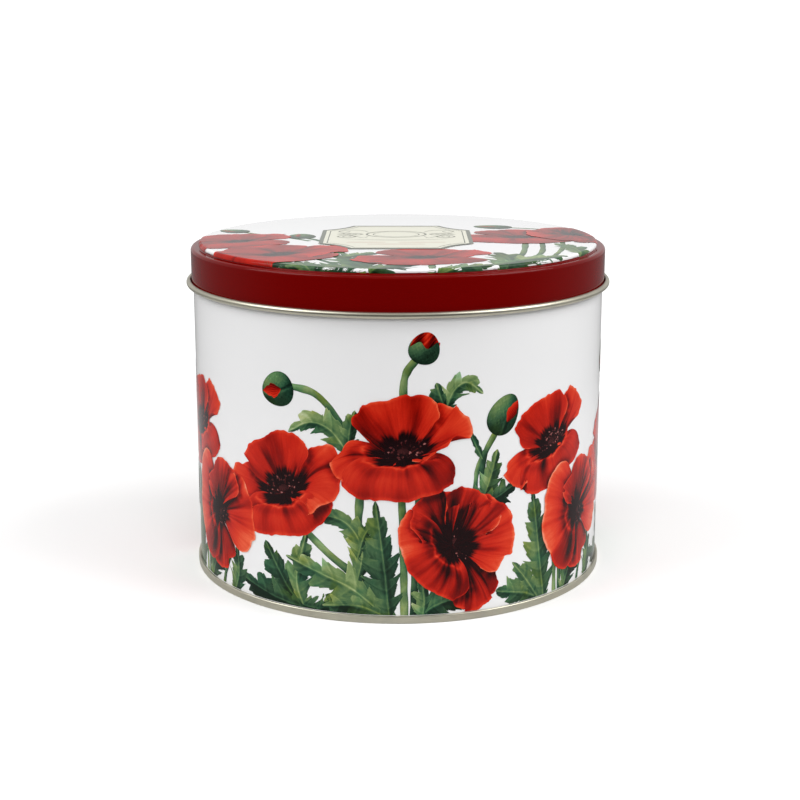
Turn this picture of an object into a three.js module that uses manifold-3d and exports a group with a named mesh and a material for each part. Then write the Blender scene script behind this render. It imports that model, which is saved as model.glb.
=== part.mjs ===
// A round lithographed gift tin with a slip-on lid, made of three pieces of tinplate:
// a rolled side wall, a base that is double-seamed to it, and a drawn lid.
// Millimetres, +Z up. The origin is the centre of the ring that the tin stands on.
import * as THREE from "three";
import { mergeVertices } from "three/addons/utils/BufferGeometryUtils.js";
import Module from "manifold-3d";

// Sheet and overall sizes
const sheet = 0.3; // thickness of the tinplate
const bodyDiameter = 160; // over the side wall
const ledgeHeight = 126.9; // from the ground to the top of the lid's ledge
const facets = 60; // flats round each turned piece

// Fits
const foldGap = 0.08; // between the folded layers of the double seam
const lidClearance = 0.4; // between the wall and the lid's skirt, on the radius
const seatGap = 0.1; // between the wall's rolled rim and the underside of the lid

// Side wall
const rimRadius = 1.0; // of the rim's inward curl, on the sheet's centreline
const rimSweep = 300; // degrees that the rim is curled through
const sideSeamWidth = 5; // of the folded side seam, which stands inside the tin
const sideSeamDepth = 0.7; // how far it stands in from the wall
const sideSeamInset = 4; // kept clear of the base seam and of the rim's curl

// Base
const seamHeight = 2.9; // of the double seam, over all
const hookGap = 0.3; // left free past the end of each hook inside the seam
const seamCorner = 0.3; // bend radius of the seam's corners, on the centreline
const basePanelHeight = 3.6; // of the base's underside above the ground
const basePanelCorner = 0.8; // bend radius between the base panel and its upright
const ringWidth = 4; // of the stiffening ring pressed into the base
const ringRise = 0.8; // how far the ring stands up from the panel
const ringInset = 14; // from the wall to the ring's outer edge

// Lid
const skirtDepth = 14.7; // from the top of the ledge to the lowest point of the lid's curl
const lidCurlRadius = 1.0; // of the outward curl, on the centreline
const lidCurlSweep = 290; // degrees that the lid's edge is curled through
const shoulderRadius = 1.0; // between skirt and ledge, on the centreline
const panelRise = 1.9; // of the picture panel above the ledge
const panelInset = 3.2; // from the skirt's face to the panel's side
const panelCorner = 0.8; // bend radius round the panel's top edge, on the centreline

// Radii of the sheet's centreline, which everything below shares
const half = sheet / 2;
const foldPitch = sheet + foldGap;
const wallRadius = bodyDiameter / 2 - half;
const skirtRadius = bodyDiameter / 2 + lidClearance + half;
const ledgeLine = ledgeHeight - half;
const rimTop = ledgeHeight - sheet - seatGap; // highest point of the side wall

const radians = THREE.MathUtils.degToRad;

const white = new THREE.MeshStandardMaterial({ color: 0xe9e9ea, roughness: 0.25, metalness: 0.0 });
const red = new THREE.MeshStandardMaterial({ color: 0x8f1210, roughness: 0.25, metalness: 0.0 });
const tinplate = new THREE.MeshStandardMaterial({ color: 0xb9b6a6, roughness: 0.35, metalness: 0.9 });

// Points [radius, height] along an arc round [r, z], from one angle to another in degrees.
function arc(r, z, radius, from, to, steps) {
  return Array.from({ length: steps + 1 }, (_, i) => {
    const angle = radians(from + ((to - from) * i) / steps);
    return [r + radius * Math.cos(angle), z + radius * Math.sin(angle)];
  });
}

// Moves every point of a centreline sideways by a distance, mitred at the corners.
// The side is on the left of the line's direction where the distance is positive.
function offset(line, distance) {
  const direction = (a, b) => {
    const length = Math.hypot(b[0] - a[0], b[1] - a[1]);
    return [(b[0] - a[0]) / length, (b[1] - a[1]) / length];
  };
  return line.map((point, i) => {
    const after = direction(line[Math.min(i, line.length - 2)], line[Math.min(i, line.length - 2) + 1]);
    const before = i > 0 ? direction(line[i - 1], line[i]) : after;
    const middle = [before[0] + after[0], before[1] + after[1]];
    const length = Math.hypot(...middle);
    const cosine = (middle[0] * after[0] + middle[1] * after[1]) / length;
    const reach = distance / cosine / length;
    return [point[0] - middle[1] * reach, point[1] + middle[0] * reach];
  });
}

// Turns a sheet's centreline of [radius, height] points into a closed shell. The line runs outwards
// from the middle of a piece, or upwards along the wall, so that the shell's faces point out.
function turnedSheet(line) {
  const onAxis = line[0][0] === 0;
  const outline = [...offset(line, half), ...offset(line, -half).reverse()];
  if (!onAxis) outline.push(outline[0]);
  const points = outline.map(([r, z]) => new THREE.Vector2(r, z));
  if (onAxis) {
    points[0].x = 0;
    points[points.length - 1].x = 0;
  }
  return new THREE.LatheGeometry(points.reverse(), facets);
}

// The side wall's centreline, from the tip of its hook in the base seam up to its rolled rim.
function wallLine() {
  const hookRadius = wallRadius + 2 * foldPitch;
  const turnHeight = half + foldPitch; // the wall's lowest bend lies on the base's
  const rimCentre = rimTop - half - rimRadius;
  return [
    [hookRadius, seamHeight - sheet - hookGap],
    ...arc(hookRadius - seamCorner, turnHeight + seamCorner, seamCorner, 0, -90, 2),
    ...arc(wallRadius + seamCorner, turnHeight + seamCorner, seamCorner, -90, -180, 2),
    ...arc(wallRadius - rimRadius, rimCentre, rimRadius, 0, rimSweep, 10),
  ];
}

// The base's centreline, from its middle out under the wall, up outside it and down into the seam.
function baseLine() {
  const uprightRadius = wallRadius - foldPitch;
  const outerRadius = wallRadius + 3 * foldPitch;
  const hookRadius = wallRadius + foldPitch;
  const panel = basePanelHeight + half;
  const top = seamHeight - half;
  const ringOuter = wallRadius - ringInset;
  const slope = ringRise; // the ring's sides lean at 45 degrees
  return [
    [0, panel],
    [ringOuter - ringWidth - slope, panel],
    [ringOuter - ringWidth, panel + ringRise],
    [ringOuter - slope, panel + ringRise],
    [ringOuter, panel],
    ...arc(uprightRadius - basePanelCorner, panel - basePanelCorner, basePanelCorner, 90, 0, 4),
    ...arc(uprightRadius + seamCorner, half + seamCorner, seamCorner, 180, 270, 2),
    ...arc(outerRadius - seamCorner, half + seamCorner, seamCorner, 270, 360, 2),
    ...arc(outerRadius - seamCorner, top - seamCorner, seamCorner, 0, 90, 2),
    ...arc(hookRadius + seamCorner, top - seamCorner, seamCorner, 90, 180, 2),
    [hookRadius, sheet + foldPitch + hookGap],
  ];
}

// The lid's centreline, from the middle of its panel out over the ledge and down to its curl.
function lidLine() {
  const panelTop = ledgeLine + panelRise;
  const sideRadius = skirtRadius - panelInset;
  const foot = panelRise - panelCorner; // what is left of the panel's side for its lower bend
  const curlCentre = ledgeHeight - skirtDepth + half + lidCurlRadius;
  return [
    [0, panelTop],
    ...arc(sideRadius - panelCorner, panelTop - panelCorner, panelCorner, 90, 0, 4),
    ...arc(sideRadius + foot / 2, ledgeLine + foot / 2, foot / 2, 180, 270, 3),
    ...arc(skirtRadius - shoulderRadius, ledgeLine - shoulderRadius, shoulderRadius, 90, 0, 4),
    ...arc(skirtRadius + lidCurlRadius, curlCentre, lidCurlRadius, 180, 180 + lidCurlSweep, 10),
  ];
}

const wasm = await Module();
wasm.setup();

// A closed geometry as a solid that can be joined.
function solid(geometry) {
  const merged = mergeVertices(geometry.deleteAttribute("normal").deleteAttribute("uv"), 1e-4);
  return new wasm.Manifold(
    new wasm.Mesh({
      numProp: 3,
      vertProperties: merged.attributes.position.array,
      triVerts: new Uint32Array(merged.index.array),
    }),
  );
}

// A solid's surface as a geometry.
function geometryOf(made) {
  const mesh = made.getMesh();
  return new THREE.BufferGeometry()
    .setAttribute("position", new THREE.BufferAttribute(new Float32Array(mesh.vertProperties), 3))
    .setIndex(new THREE.BufferAttribute(mesh.triVerts, 1));
}

// The folded side seam: a strip that stands in from the wall at the back of the tin.
// It is drawn flat and raised along +Y, as the turned wall is.
function sideSeam() {
  const bottom = seamHeight + sideSeamInset;
  const top = rimTop - 2 * (rimRadius + half) - sideSeamInset;
  const outer = wallRadius;
  const inner = wallRadius - half - sideSeamDepth;
  const halfAngle = sideSeamWidth / 2 / wallRadius;
  const strip = new THREE.Shape();
  strip.absarc(0, 0, outer, Math.PI / 2 - halfAngle, Math.PI / 2 + halfAngle, false);
  strip.absarc(0, 0, inner, Math.PI / 2 + halfAngle, Math.PI / 2 - halfAngle, true);
  strip.closePath();
  return new THREE.ExtrudeGeometry(strip, { depth: top - bottom, bevelEnabled: false, curveSegments: 4 })
    .rotateX(-Math.PI / 2)
    .translate(0, bottom, 0);
}

function wall() {
  return geometryOf(solid(turnedSheet(wallLine())).add(solid(sideSeam())));
}

// The turned pieces stand along +Y, and this group stands them along +Z.
const tin = new THREE.Group();
tin.rotation.x = Math.PI / 2;

const pieces = [
  ["body_wall", wall(), white],
  ["base_end", turnedSheet(baseLine()), tinplate],
  ["lid", turnedSheet(lidLine()), red],
];
for (const [name, geometry, material] of pieces) {
  const mesh = new THREE.Mesh(geometry, material);
  mesh.name = name;
  tin.add(mesh);
}

const part = new THREE.Group();
part.add(tin);

export default part;
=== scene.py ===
# A round lithographed tin: fine turned shells for its wall, base and lid, and the printed
# poppies, leaves and label as thin skins of ink on the enamel.
# Lengths are in millimetres here and turn into metres when a mesh is made.
# +Z is up, the printed front faces -Y and the side seam is at +Y.
import math

import bmesh
import bpy
import numpy as np
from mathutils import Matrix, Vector


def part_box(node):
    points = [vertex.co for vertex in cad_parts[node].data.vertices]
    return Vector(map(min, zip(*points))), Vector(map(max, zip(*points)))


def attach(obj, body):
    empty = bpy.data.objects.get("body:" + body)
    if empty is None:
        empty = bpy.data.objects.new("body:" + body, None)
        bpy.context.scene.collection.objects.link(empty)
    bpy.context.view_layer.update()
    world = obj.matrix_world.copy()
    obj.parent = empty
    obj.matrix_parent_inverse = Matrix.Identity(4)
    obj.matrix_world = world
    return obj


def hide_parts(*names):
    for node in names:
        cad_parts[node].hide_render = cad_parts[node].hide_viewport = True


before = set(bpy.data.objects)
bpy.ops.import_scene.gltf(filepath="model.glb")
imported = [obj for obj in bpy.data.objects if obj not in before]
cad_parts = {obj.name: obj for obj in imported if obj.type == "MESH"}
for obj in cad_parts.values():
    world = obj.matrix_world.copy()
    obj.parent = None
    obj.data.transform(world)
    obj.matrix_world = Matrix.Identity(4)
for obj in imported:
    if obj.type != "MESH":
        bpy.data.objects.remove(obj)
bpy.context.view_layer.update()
print("frame loaded:", ", ".join(sorted(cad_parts)))

millimetre = 0.001

# camera, seen from the front and a little above
cameraView = {
    "distance": 619,  # from the tin's axis, along -Y
    "height": 215,
    "sideways": 0.8,
    "tiltDown": 13.75,  # degrees
    "lens": 71.4,  # on a 36 mm sensor
}


def addObject(name, data):
    # an object in the scene, at the origin
    made = bpy.data.objects.new(name, data)
    bpy.context.collection.objects.link(made)
    return made


def placeCamera(view):
    # on the tin's front side, turned down from the horizontal by tiltDown
    data = bpy.data.cameras.new("camera")
    data.lens = view["lens"]
    data.sensor_width = 36
    data.clip_start = 0.01
    data.clip_end = 60
    camera = addObject("camera", data)
    spot = np.array([view["sideways"], -view["distance"], view["height"]]) * millimetre
    camera.location = spot.tolist()
    camera.rotation_euler = (math.radians(90 - view["tiltDown"]), 0, 0)
    bpy.context.scene.camera = camera


placeCamera(cameraView)
print("camera placed")


class Value:
    # one shader socket; each operator adds the Math node for it and gives that node's output

    def __init__(self, finish, socket):
        self.finish = finish
        self.socket = socket

    def __add__(self, other):
        return self.finish.maths("ADD", self, other)

    def __sub__(self, other):
        return self.finish.maths("SUBTRACT", self, other)

    def __rsub__(self, other):
        return self.finish.maths("SUBTRACT", other, self)

    def __mul__(self, other):
        return self.finish.maths("MULTIPLY", self, other)

    __radd__ = __add__
    __rmul__ = __mul__


class Finish:
    # a material or the world under construction

    def __init__(self, owner):
        # owner is the name of a new material, or the world itself
        self.owner = bpy.data.materials.new(owner) if isinstance(owner, str) else owner
        self.owner.use_nodes = True
        self.tree = self.owner.node_tree
        self.tree.nodes.clear()

    def add(self, kind, settings=None, values=None, output=0):
        # a node of this kind: its settings first, then its sockets' numbers or links
        node = self.tree.nodes.new(kind)
        for name, setting in (settings or {}).items():
            if name == "stops":
                self.setStops(node.color_ramp, setting)
            else:
                setattr(node, name, setting)
        for name, value in (values or {}).items():
            if isinstance(value, Value):
                self.tree.links.new(value.socket, node.inputs[name])
            else:
                node.inputs[name].default_value = value
        return Value(self, node.outputs[output]) if len(node.outputs) else node

    def setStops(self, ramp, stops):
        # each stop is a place from 0 to 1 and its colour
        while len(ramp.elements) < len(stops):
            ramp.elements.new(1)
        for element, (place, colour) in zip(ramp.elements, stops):
            element.position = place
            element.color = (*colour, 1)

    def maths(self, operation, *values):
        # one operation on numbers or sockets
        return self.add("ShaderNodeMath", {"operation": operation}, dict(enumerate(values)))

    def ramp(self, factor, stops):
        # the colour at this factor, straight between the stops
        return self.add("ShaderNodeValToRGB", {"stops": stops}, {"Fac": factor})

    def blend(self, factor, first, second, how="MIX"):
        # two colours, as tuples or sockets; factor 0 gives the first
        sides = [c if isinstance(c, Value) else (*c, 1) for c in (first, second)]
        settings = {"data_type": "RGBA", "blend_type": how}
        return self.add("ShaderNodeMix", settings, {0: factor, 6: sides[0], 7: sides[1]}, output=2)

    def smooth(self, value, low, high):
        # 0 at low, 1 at high, an S-curve between them
        settings = {"interpolation_type": "SMOOTHSTEP"}
        return self.add("ShaderNodeMapRange", settings, {"Value": value, "From Min": low, "From Max": high})

    def note(self, name):
        # one of the numbers that a mesh carries at its points
        return self.add("ShaderNodeAttribute", {"attribute_name": name}, output="Fac")

    def place(self, scale=(1, 1, 1)):
        # Object coordinates in metres, stretched by scale
        spot = self.add("ShaderNodeTexCoord", output="Object")
        return self.add("ShaderNodeMapping", values={"Vector": spot, "Scale": scale})

    def vector(self, x, y, z=0.0):
        # three numbers as one place
        return self.add("ShaderNodeCombineXYZ", values={"X": x, "Y": y, "Z": z})

    def noise(self, vector, scale, detail=3.0, roughness=0.5):
        # clouds about 1 / scale across, each octave of detail finer and weaker by roughness
        values = {"Vector": vector, "Scale": scale, "Detail": detail, "Roughness": roughness}
        return self.add("ShaderNodeTexNoise", values=values)

    def bump(self, height, distance, strength=1.0):
        # tilts the surface as if height 1 stood this distance out, in metres
        values = {"Height": height, "Distance": distance, "Strength": strength}
        return self.add("ShaderNodeBump", values=values)

    def surface(self, values):
        # ends the material with one shader
        shader = self.add("ShaderNodeBsdfPrincipled", values=values)
        self.add("ShaderNodeOutputMaterial", values={"Surface": shader})
        return self.owner


varnish = {"Coat Weight": 1.0, "Coat Roughness": 0.06, "Coat IOR": 1.22, "Specular IOR Level": 0.0}

tinplateTones = {"plain": (0.575, 0.55, 0.435), "dull": (0.47, 0.45, 0.37), "bright": (0.74, 0.71, 0.60)}
# two tones of each enamel, which it is mottled between
enamelWhite = [(0.87, 0.87, 0.872), (0.85, 0.851, 0.856)]
enamelRed = [(0.165, 0.0012, 0.0008), (0.145, 0.0008, 0.0006)]


def orangePeel(finish):
    # the faint unevenness of a rolled and varnished sheet: wide and fine noise, added
    wide = finish.noise(finish.place(), 55, 2)
    fine = finish.noise(finish.place(), 900, 2)
    return finish.bump(wide * 0.85 + fine * 0.15, 0.0004, 0.12)


def rolledTin(finish):
    # bright tinplate: dull clouds, bright streaks round the tin, and a roughness that follows both
    streaks = finish.noise(finish.place((18, 18, 900)), 6, 4, 0.6)
    cloud = finish.noise(finish.place(), 70, 4, 0.6)
    colour = finish.blend(finish.smooth(cloud, 0.35, 0.75), tinplateTones["plain"], tinplateTones["dull"])
    colour = finish.blend(finish.smooth(streaks, 0.3, 0.7) * 0.35, colour, tinplateTones["bright"])
    return colour, 0.27 + streaks * 0.12 + cloud * 0.06


def enamelledTin(name, tones, roughness):
    # enamel mottled between two tones, mixed with bare tinplate by the attribute bare
    finish = Finish(name)
    bare = finish.note("bare")
    tinColour, tinRoughness = rolledTin(finish)
    mottle = finish.noise(finish.place(), 24, 4, 0.55)
    values = {
        "Base Color": finish.blend(bare, finish.blend(mottle, *tones), tinColour),
        "Metallic": bare,
        "Roughness": (roughness + mottle * 0.1) * (1 - bare) + tinRoughness * bare,
        "Coat Weight": 1 - bare,
        "Normal": orangePeel(finish),
    }
    return finish.surface({**varnish, **values})


def plainTin():
    # bare tinplate on both sides
    finish = Finish("tinplate")
    colour, roughness = rolledTin(finish)
    values = {"Base Color": colour, "Metallic": 1.0, "Roughness": roughness, "Normal": orangePeel(finish)}
    return finish.surface(values)


def inkSurface(finish, colour, grain):
    # an ink under the varnish: its grain breaks up its satin
    values = {"Base Color": colour, "Roughness": 0.32 + grain * 0.08, "Normal": orangePeel(finish)}
    return finish.surface({**varnish, **values})


petalTones = [
    (0.00, (0.016, 0.0005, 0.0005)),
    (0.18, (0.100, 0.0014, 0.0010)),
    (0.36, (0.290, 0.0050, 0.0020)),
    (0.54, (0.540, 0.0160, 0.0060)),
    (0.72, (0.690, 0.0420, 0.0145)),
    (0.88, (0.820, 0.1200, 0.0480)),
    (1.00, (0.880, 0.3000, 0.1850)),
]
heartTones = [(0.004, 0.0006, 0.0010), (0.024, 0.0016, 0.0024)]
podTones = [(0.0, (0.008, 0.0012, 0.002)), (0.6, (0.16, 0.034, 0.034)), (1.0, (0.70, 0.34, 0.30))]


def petalInk():
    # the painted tone, moved by grain and by fine streaks from claw to rim, runs through the reds;
    # heart mixes in the dark middle and pod the colours of the seed pod and stamens
    finish = Finish("petal_ink")
    tone, heart, pod = (finish.note(n) for n in ("tone", "heart", "pod"))
    along, across = finish.note("along"), finish.note("across")
    streaks = finish.noise(finish.vector(across * 26, along * 3.2, finish.note("chance")), 1.0, 4, 0.65)
    grain = finish.noise(finish.place(), 1400, 2)
    painted = tone + (streaks - 0.5) * 0.24 + (grain - 0.5) * 0.07
    petal = finish.ramp(painted, petalTones)
    dark = finish.blend(finish.smooth(streaks, 0.4, 0.75), *heartTones)
    colour = finish.blend(heart, petal, dark)
    return inkSurface(finish, finish.blend(pod, colour, finish.ramp(tone, podTones)), grain)


leafTones = [
    (0.00, (0.006, 0.017, 0.009)),
    (0.20, (0.018, 0.050, 0.026)),
    (0.42, (0.053, 0.122, 0.055)),
    (0.64, (0.142, 0.226, 0.082)),
    (0.84, (0.300, 0.385, 0.160)),
    (1.00, (0.500, 0.560, 0.330)),
]


def leafInk():
    # leaves, stems and buds: the tone, moved by streaks, dabs and grain, runs through the greens;
    # broad patches are multiplied by a blue or an olive wash
    finish = Finish("leaf_ink")
    tone = finish.note("tone")
    along, across = finish.note("along"), finish.note("across")
    streaks = finish.noise(finish.vector(across * 7, along * 5, finish.note("chance")), 1.0, 4, 0.6)
    grain = finish.noise(finish.place(), 1300, 2)
    wash = finish.noise(finish.place(), 95, 2)
    dabs = finish.noise(finish.place(), 210, 3, 0.6)
    painted = tone + (streaks - 0.5) * 0.30 + (dabs - 0.5) * 0.34 + (grain - 0.5) * 0.07
    green = finish.ramp(painted, leafTones)
    blue = finish.blend(1.0, green, (0.60, 0.92, 1.0), "MULTIPLY")
    olive = finish.blend(1.0, green, (1.0, 0.90, 0.50), "MULTIPLY")
    green = finish.blend(finish.smooth(wash, 0.46, 0.34) * 0.9, green, olive)
    return inkSurface(finish, finish.blend(finish.smooth(wash, 0.48, 0.66) * 0.8, green, blue), grain)


def flatInk(name, colour, shade):
    # one plain ink, uneven between two close tones
    finish = Finish(name)
    cloud = finish.noise(finish.place(), 160, 4, 0.6)
    grain = finish.noise(finish.place(), 1500, 2)
    return inkSurface(finish, finish.blend(cloud * 0.6 + grain * 0.4, colour, shade), grain)


inks = {
    "wall": enamelledTin("wall_enamel", enamelWhite, 0.30),
    "lid": enamelledTin("lid_enamel", enamelRed, 0.28),
    "base": plainTin(),
    "petal": petalInk(),
    "leaf": leafInk(),
    "ground": flatInk("white_ink", *enamelWhite),
    "cream": flatInk("cream_ink", (0.80, 0.79, 0.66), (0.76, 0.745, 0.61)),
    "sage": flatInk("sage_ink", (0.200, 0.212, 0.160), (0.240, 0.250, 0.190)),
    "rose": flatInk("rose_ink", (0.520, 0.190, 0.130), (0.560, 0.230, 0.165)),
    "olive": flatInk("olive_ink", (0.135, 0.150, 0.115), (0.165, 0.180, 0.140)),
}
print("materials made:", len(bpy.data.materials))


def meshPiece(name, points, faces, notes, material, body, slot, stands=(), weld=False):
    # one finished object from arrays: points in mm, faces of four corners, notes for each point
    mesh = bpy.data.meshes.new(name)
    mesh.from_pydata(points * millimetre, [], faces.tolist())
    for note, numbers in notes.items():
        layer = mesh.attributes.new(note, "FLOAT", "POINT")
        layer.data.foreach_set("value", np.ascontiguousarray(numbers, dtype=np.float32))
    if weld:
        weldMesh(mesh)
    mesh.polygons.foreach_set("use_smooth", np.ones(len(mesh.polygons), dtype=bool))
    mesh.materials.append(material)
    mesh.update()
    piece = addObject(name, mesh)
    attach(piece, body)
    if stands:
        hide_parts(*stands)
    return piece


def weldMesh(mesh):
    # closes seams and poles, and turns the whole skin outwards if it encloses a negative volume
    work = bmesh.new()
    work.from_mesh(mesh)
    bmesh.ops.remove_doubles(work, verts=work.verts, dist=1e-7)
    bmesh.ops.dissolve_degenerate(work, edges=work.edges, dist=1e-8)
    if work.calc_volume(signed=True) < 0:
        bmesh.ops.reverse_faces(work, faces=work.faces)
    work.to_mesh(mesh)
    work.free()


def gridFaces(rows, columns, closeRows=False, closeColumns=False):
    # quads between neighbouring rows and columns of a grid, wrapped round where it closes
    index = np.arange(rows * columns).reshape(rows, columns)
    if closeRows:
        index = np.vstack([index, index[:1]])
    if closeColumns:
        index = np.hstack([index, index[:, :1]])
    corners = [index[:-1, :-1], index[:-1, 1:], index[1:, 1:], index[1:, :-1]]
    return np.stack(corners, axis=-1).reshape(-1, 4)


# sizes of the sheet metal; the rest comes from the frame's boxes
tin = {
    "sheet": 0.3,
    "foldGap": 0.08,  # between the layers folded into the base seam
    "hookGap": 0.3,  # past the end of each hook in the seam
    "seamHeight": 2.9,
    "seamCorner": 0.3,
    "rimRadius": 1.0,
    "rimSweep": 300,  # degrees of inward curl round the wall's top
    "basePanel": 3.75,  # height of the base's sheet
    "basePanelCorner": 0.8,
    "ringWidth": 4,
    "ringRise": 0.8,
    "ringInset": 14,
    "ringBlend": 1.2,  # half the width of the S-curve on each side of the ring
    "slipFit": 0.4,  # between the wall and the lid's skirt
    "lidCurlRadius": 1.0,
    "lidCurlSweep": 290,
    "shoulderRadius": 1.0,
    "panelRise": 1.9,
    "panelInset": 3.2,
    "panelCorner": 0.8,
    "columns": 300,  # round each shell
    "facetSlack": 0.01,  # the frame's faceted rim is about this much taller than the round one
}


def boxOf(node):
    # a node's two extreme corners in mm
    return [np.array(corner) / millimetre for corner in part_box(node)]


half = tin["sheet"] / 2
foldPitch = tin["sheet"] + tin["foldGap"]
seamRadius = boxOf("base_end")[1][0]  # over the base seam
wallRadius = seamRadius - half - 3 * foldPitch  # to the middle of the sheet, as are all radii here
wallFace = wallRadius + half
rimTop = boxOf("body_wall")[1][2] - tin["facetSlack"]
lidBottom, lidTop = boxOf("lid")[0][2], boxOf("lid")[1][2]
skirtRadius = wallFace + tin["slipFit"] + half
panelSide = skirtRadius - tin["panelInset"]
panelFlat = panelSide - tin["panelCorner"]  # where the lid's flat panel ends


def bend(r, z, radius, start, end):
    # arc round (r, z) from one angle to another in degrees, about 9 degrees a step
    steps = max(2, round(abs(end - start) / 9))
    angle = np.radians(np.linspace(start, end, steps + 1))
    return np.stack([r + radius * np.cos(angle), z + radius * np.sin(angle)], axis=1)


def offsetLine(line, distance):
    # the line moved sideways by a distance, with mitred corners
    step = np.diff(line, axis=0)
    step /= np.linalg.norm(step, axis=1, keepdims=True)
    before = np.vstack([step[:1], step])
    after = np.vstack([step, step[-1:]])
    middle = before + after
    length = np.linalg.norm(middle, axis=1, keepdims=True)
    cosine = (middle * after).sum(axis=1, keepdims=True) / length
    side = np.stack([-middle[:, 1], middle[:, 0]], axis=1) / length
    return line + side * distance / cosine


def turnedShell(line, printedSide, lap=None):
    # a sheet's middle line, moved out by half the sheet to both sides and carried round +Z.
    # printedSide is +1 or -1 for the enamelled face, 0 for none. lap moves points in and out near
    # the side seam, where the columns crowd together by a cube law.
    # a point that repeats the one before has no direction, so it is dropped
    line = line[np.append(True, np.linalg.norm(np.diff(line, axis=0), axis=1) > 1e-6)]
    onAxis = line[0, 0] == 0
    sides = [offsetLine(line, half), offsetLine(line, -half)[::-1]]
    if onAxis:
        sides[0][0, 0] = sides[1][-1, 0] = 0
    outline = np.vstack(sides)
    bare = np.repeat([printedSide != 1, printedSide != -1], len(line))
    turn = np.linspace(0, 2 * np.pi, tin["columns"], endpoint=False)
    if lap:
        reach = sideSeam["crowdAngle"]
        away = np.abs((turn + np.pi) % (2 * np.pi) - np.pi) > reach
        turn = np.unique(np.concatenate([turn[away], np.linspace(-1, 1, sideSeam["crowd"]) ** 3 * reach]))
    radius = np.repeat(outline[:, :1], len(turn), axis=1)
    height = np.repeat(outline[:, 1:], len(turn), axis=1)
    if lap:
        radius = radius + lap(turn * wallRadius, height)
    angle = turn + np.pi / 2
    points = np.stack([radius * np.cos(angle), radius * np.sin(angle), height], axis=-1)
    faces = gridFaces(len(outline), len(angle), closeRows=not onAxis, closeColumns=True)
    notes = {"bare": np.repeat(bare, len(angle))}
    return points.reshape(-1, 3), faces, notes


def wallLine():
    # from the tip of the hook in the base seam, round two bends, straight up and round the rim
    corner = tin["seamCorner"]
    hook = wallRadius + 2 * foldPitch
    turn = half + foldPitch + corner
    rim = tin["rimRadius"]
    return np.vstack([
        [[hook, tin["seamHeight"] - tin["sheet"] - tin["hookGap"]]],
        bend(hook - corner, turn, corner, 0, -90),
        bend(wallRadius + corner, turn, corner, -90, -180),
        [[wallRadius, z] for z in np.linspace(turn + 1, rimTop - 4, 24)],
        bend(wallRadius - rim, rimTop - half - rim, rim, 0, tin["rimSweep"]),
    ])


def baseLine():
    # from the middle over the stiffening ring, down inside the wall, under it, up outside it and
    # down into its hook
    corner, panel, top = tin["seamCorner"], tin["basePanel"], tin["seamHeight"] - half
    upright, outer, hook = wallRadius - foldPitch, wallRadius + 3 * foldPitch, wallRadius + foldPitch
    ring, rise, width = wallRadius - tin["ringInset"], tin["ringRise"], tin["ringWidth"]
    inner = tin["basePanelCorner"]
    return np.vstack([
        [[0, panel]],
        [[r, panel] for r in (15, 30, 45, ring - width - 2 * rise)],
        ringBends(ring - width - rise / 2, panel, 1),
        ringBends(ring - rise / 2, panel, -1),
        bend(upright - inner, panel - inner, inner, 90, 0),
        bend(upright + corner, half + corner, corner, 180, 270),
        bend(outer - corner, half + corner, corner, 270, 360),
        bend(outer - corner, top - corner, corner, 0, 90),
        bend(hook + corner, top - corner, corner, 90, 180),
        [[hook, tin["sheet"] + foldPitch + tin["hookGap"]]],
    ])


def ringBends(middle, panel, way):
    # half a sine wave centred on a radius, up (way 1) or down (way -1) as the radius grows
    share = np.linspace(-1, 1, 11)
    up = 0.5 + 0.5 * way * np.sin(share * np.pi / 2)
    return np.stack([middle + share * tin["ringBlend"], panel + tin["ringRise"] * up], axis=1)


def lidLine():
    # from the middle of the panel, down its side, over the ledge and shoulder, down and round the curl
    corner, shoulder, curl = tin["panelCorner"], tin["shoulderRadius"], tin["lidCurlRadius"]
    panelTop = lidTop - half
    ledge = panelTop - tin["panelRise"]
    foot = (tin["panelRise"] - corner) / 2
    return np.vstack([
        [[0, panelTop]],
        [[r, panelTop] for r in (20, 40, 60, 72)],
        bend(panelFlat, panelTop - corner, corner, 90, 0),
        bend(panelSide + foot, ledge + foot, foot, 180, 270),
        bend(skirtRadius - shoulder, ledge - shoulder, shoulder, 90, 0),
        [[skirtRadius, z] for z in np.linspace(ledge - shoulder - 1, lidBottom + 3, 6)],
        bend(skirtRadius + curl, lidBottom + half + curl, curl, 180, 180 + tin["lidCurlSweep"]),
    ])


# the lock seam down the back of the wall: a narrow groove outside, its folds inside
sideSeam = {
    "grooveDepth": 0.22,
    "grooveWidth": 0.45,
    "step": 0.05,  # one side of the groove stands this much proud
    "stepReach": 3.0,  # and fades over about this far
    "baseClear": 0.2,  # no groove this close above the base seam
    "rimClear": 3.0,  # nor this close under the rim
    "crowd": 41,  # columns of points close to the groove
    "crowdAngle": 0.06,  # how far they spread to each side, in radians
    "foldWidth": 5.0,
    "foldDepth": 0.7,
    "foldSunk": 0.1,  # how far the folds reach into the wall's sheet
    "bottom": 6.9,
    "top": 120.2,
}


def seamLap(arc, height):
    # inwards by the groove's bell curve, outwards on one side by a step that fades as a bell curve
    groove = -sideSeam["grooveDepth"] * np.exp(-(arc / sideSeam["grooveWidth"]) ** 2)
    step = sideSeam["step"] * (arc > 0) * np.exp(-(arc / sideSeam["stepReach"]) ** 2)
    above = height > tin["seamHeight"] + sideSeam["baseClear"]
    return (groove + step) * (above & (height < rimTop - sideSeam["rimClear"]))


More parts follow.
